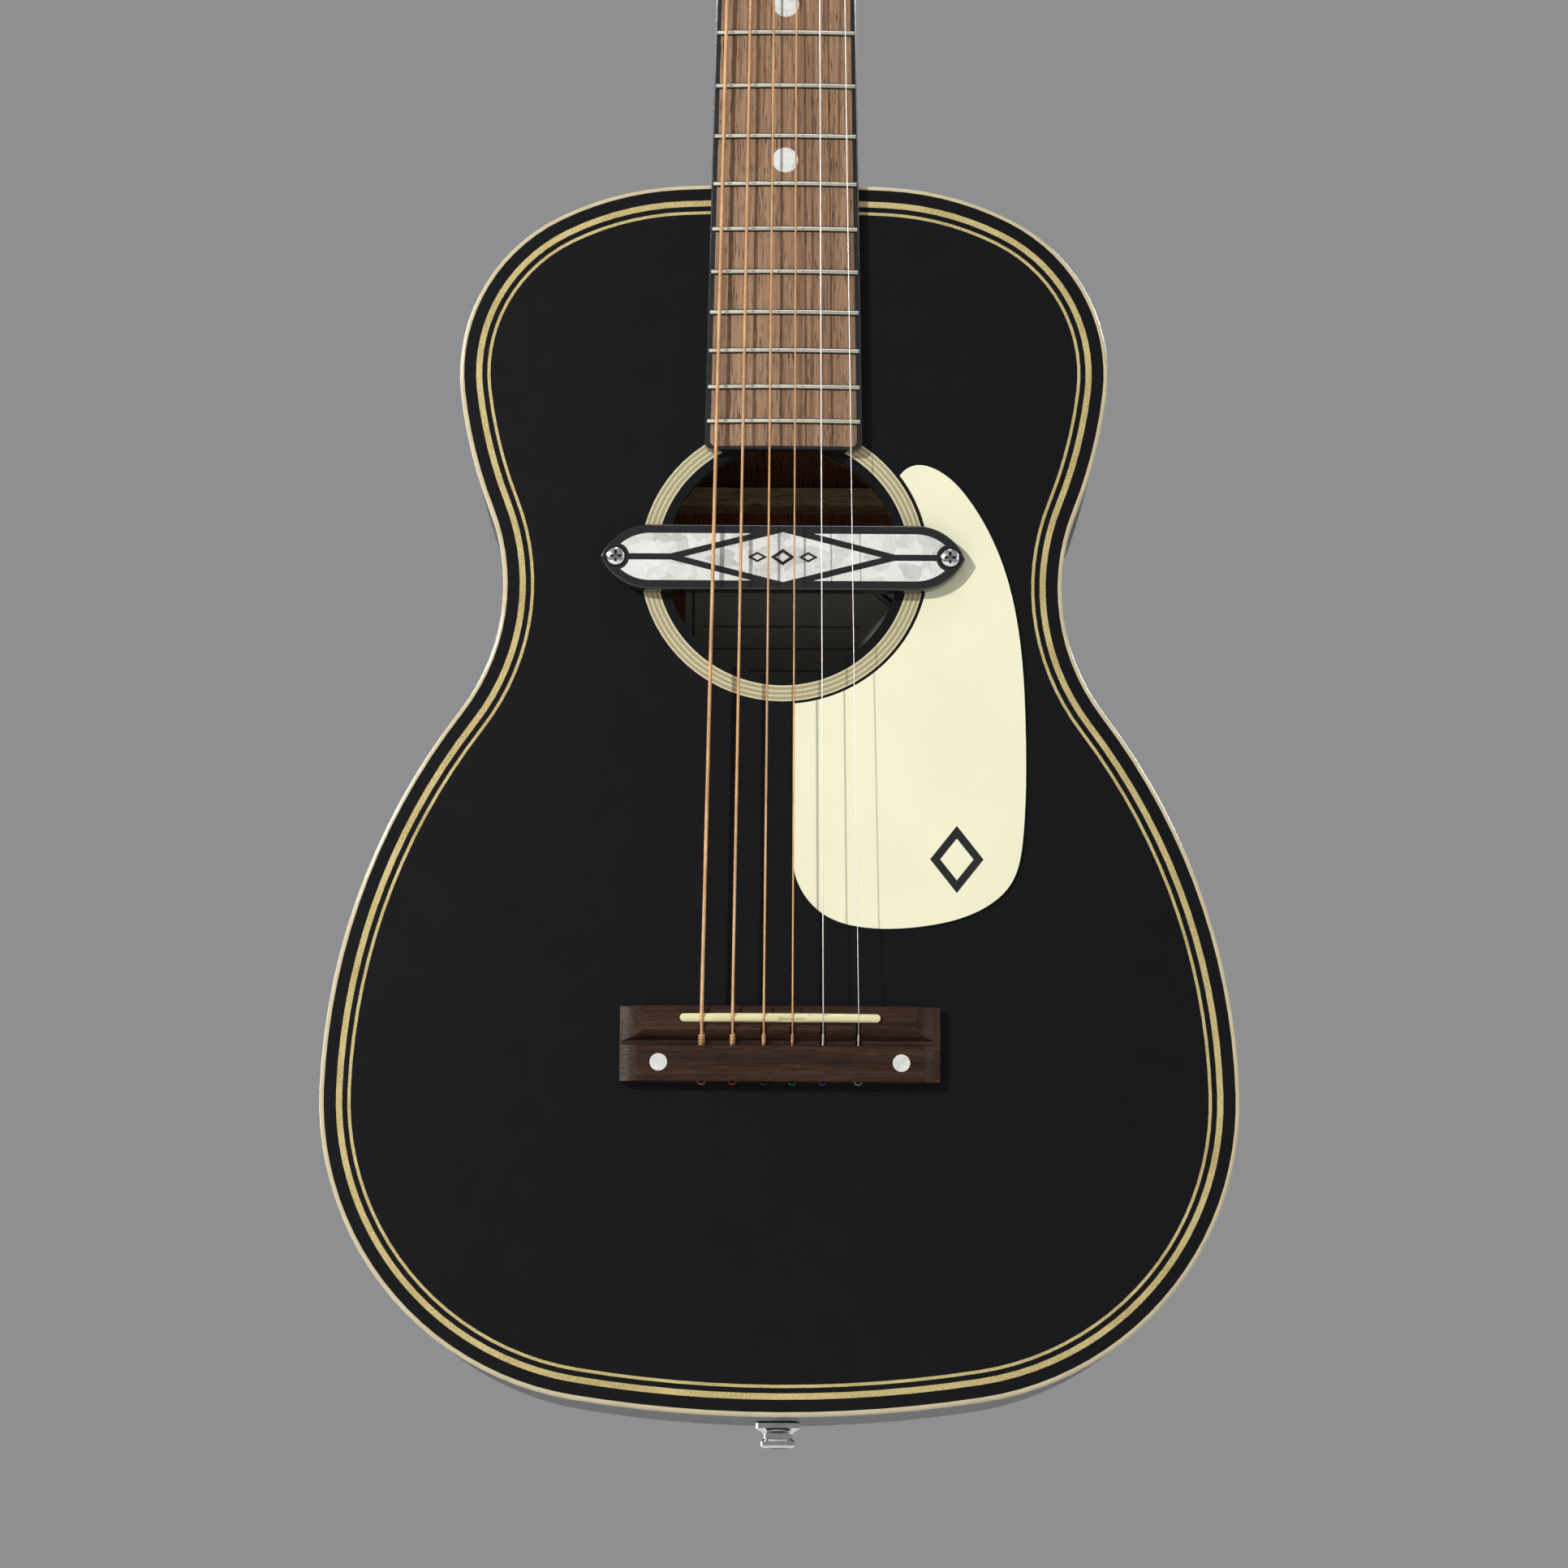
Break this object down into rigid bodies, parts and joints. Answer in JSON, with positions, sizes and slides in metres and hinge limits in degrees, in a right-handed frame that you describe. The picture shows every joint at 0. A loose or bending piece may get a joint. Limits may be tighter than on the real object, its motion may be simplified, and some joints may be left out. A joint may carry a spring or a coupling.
{
  "type": "acoustic guitar",
  "caption": "Small-bodied acoustic guitar in satin black with cream trim, a walnut fretboard and bridge, a soundhole pickup and geared tuners.",
  "frame": {"origin": "on the end-pin jack's axis, level with the lowest point of the body", "axes": "+Z from the tail to the head, -Y the way the soundboard faces, +X the treble side"},
  "size_m": [0.3282, 0.1132, 0.9188],
  "materials": {
    "black_lacquer": "satin black lacquer with a fine orange peel",
    "black_satin": "satin black lacquer",
    "inner_wood": "bare reddish wood",
    "spruce": "bare light wood",
    "paper": "matte",
    "cream_binding": "gloss",
    "gold_line": "satin gold",
    "rosette": "alternating cream and gold lines",
    "cream_guard": "gloss",
    "walnut": "open-grained, dry satin",
    "black_edging": "satin",
    "nickel_silver": "polished crowns",
    "pearl": "pearloid",
    "bone": "polished",
    "steel": "plain steel",
    "black_plastic": "gloss",
    "black_coil": "matte tape",
    "black_rubber": "matte",
    "chrome": "polished",
    "nickel": "polished nickel",
    "cream_button": "gloss",
    "bronze_string": "bronze winding",
    "plain_string": "bright wire"
  },
  "bodies": {
    "guitar": {"soundboard": "black_lacquer", "back_plate": "black_lacquer", "side_bass": "black_lacquer", "side_treble": "black_lacquer", "neck_block": "inner_wood", "tail_block": "inner_wood", "linings": "inner_wood", "top_braces": "spruce", "back_braces": "spruce", "label": "paper", "top_binding": "cream_binding", "back_binding": "cream_binding", "top_purfling": "gold_line", "rosette": "rosette", "pickguard": "cream_guard", "neck": "black_satin", "fretboard": "walnut", "fretboard_edging": "black_edging", "frets": "nickel_silver", "inlay_dots": "pearl", "nut": "bone", "truss_rod": "steel", "truss_rod_cover": "black_plastic", "bridge": "walnut", "saddle": "bone", "pickup_cover": "black_plastic", "pickup_inlay": "pearl", "pickup_coil": "black_coil", "pickup_clamps": "steel", "pickup_screws": "chrome", "pickup_lead": "black_rubber", "endpin_jack": "chrome", "strap_button": "chrome", "tuner_plates": "nickel", "tuner_bushings": "nickel", "tuner_screws": "nickel", "string_1": "plain_string", "string_2": "plain_string", "string_3": "bronze_string", "string_4": "bronze_string", "string_5": "bronze_string", "string_6": "bronze_string"},
    "key_1": {"tuner_key_1": "nickel", "tuner_button_1": "cream_button"},
    "post_1": {"tuner_post_1": "nickel"},
    "key_2": {"tuner_key_2": "nickel", "tuner_button_2": "cream_button"},
    "post_2": {"tuner_post_2": "nickel"},
    "key_3": {"tuner_key_3": "nickel", "tuner_button_3": "cream_button"},
    "post_3": {"tuner_post_3": "nickel"},
    "key_4": {"tuner_key_4": "nickel", "tuner_button_4": "cream_button"},
    "post_4": {"tuner_post_4": "nickel"},
    "key_5": {"tuner_key_5": "nickel", "tuner_button_5": "cream_button"},
    "post_5": {"tuner_post_5": "nickel"},
    "key_6": {"tuner_key_6": "nickel", "tuner_button_6": "cream_button"},
    "post_6": {"tuner_post_6": "nickel"}
  },
  "joints": [
    {"name": "key_turn_1", "type": "hinge", "parent": "guitar", "child": "key_1", "pos_m": [0.01992, -0.02463, 0.79022], "axis": [0.9995, -0.0071, -0.0309], "continuous": true},
    {"name": "post_turn_1", "type": "hinge", "parent": "guitar", "child": "post_1", "pos_m": [0.02017, -0.04138, 0.80214], "axis": [0, 0.9744, -0.225], "continuous": true},
    {"name": "key_turn_2", "type": "hinge", "parent": "guitar", "child": "key_2", "pos_m": [0.02106, -0.01653, 0.8253], "axis": [0.9995, -0.0071, -0.0309], "continuous": true},
    {"name": "post_turn_2", "type": "hinge", "parent": "guitar", "child": "post_2", "pos_m": [0.02131, -0.03328, 0.83721], "axis": [0, 0.9744, -0.225], "continuous": true},
    {"name": "key_turn_3", "type": "hinge", "parent": "guitar", "child": "key_3", "pos_m": [0.0222, -0.00843, 0.86037], "axis": [0.9995, -0.0071, -0.0309], "continuous": true},
    {"name": "post_turn_3", "type": "hinge", "parent": "guitar", "child": "post_3", "pos_m": [0.02245, -0.02518, 0.87229], "axis": [0, 0.9744, -0.225], "continuous": true},
    {"name": "key_turn_4", "type": "hinge", "parent": "guitar", "child": "key_4", "pos_m": [-0.0222, -0.00843, 0.86037], "axis": [-0.9995, -0.0071, -0.0309], "continuous": true},
    {"name": "post_turn_4", "type": "hinge", "parent": "guitar", "child": "post_4", "pos_m": [-0.02245, -0.02518, 0.87229], "axis": [0, 0.9744, -0.225], "continuous": true},
    {"name": "key_turn_5", "type": "hinge", "parent": "guitar", "child": "key_5", "pos_m": [-0.02106, -0.01653, 0.8253], "axis": [-0.9995, -0.0071, -0.0309], "continuous": true},
    {"name": "post_turn_5", "type": "hinge", "parent": "guitar", "child": "post_5", "pos_m": [-0.02131, -0.03328, 0.83721], "axis": [0, 0.9744, -0.225], "continuous": true},
    {"name": "key_turn_6", "type": "hinge", "parent": "guitar", "child": "key_6", "pos_m": [-0.01992, -0.02463, 0.79022], "axis": [-0.9995, -0.0071, -0.0309], "continuous": true},
    {"name": "post_turn_6", "type": "hinge", "parent": "guitar", "child": "post_6", "pos_m": [-0.02017, -0.04138, 0.80214], "axis": [0, 0.9744, -0.225], "continuous": true}
  ],
  "couplings": [
    {"joint": "post_turn_1", "follows": "key_turn_1", "ratio": 0.071429},
    {"joint": "post_turn_2", "follows": "key_turn_2", "ratio": 0.071429},
    {"joint": "post_turn_3", "follows": "key_turn_3", "ratio": 0.071429},
    {"joint": "post_turn_4", "follows": "key_turn_4", "ratio": -0.071429},
    {"joint": "post_turn_5", "follows": "key_turn_5", "ratio": -0.071429},
    {"joint": "post_turn_6", "follows": "key_turn_6", "ratio": -0.071429}
  ]
}
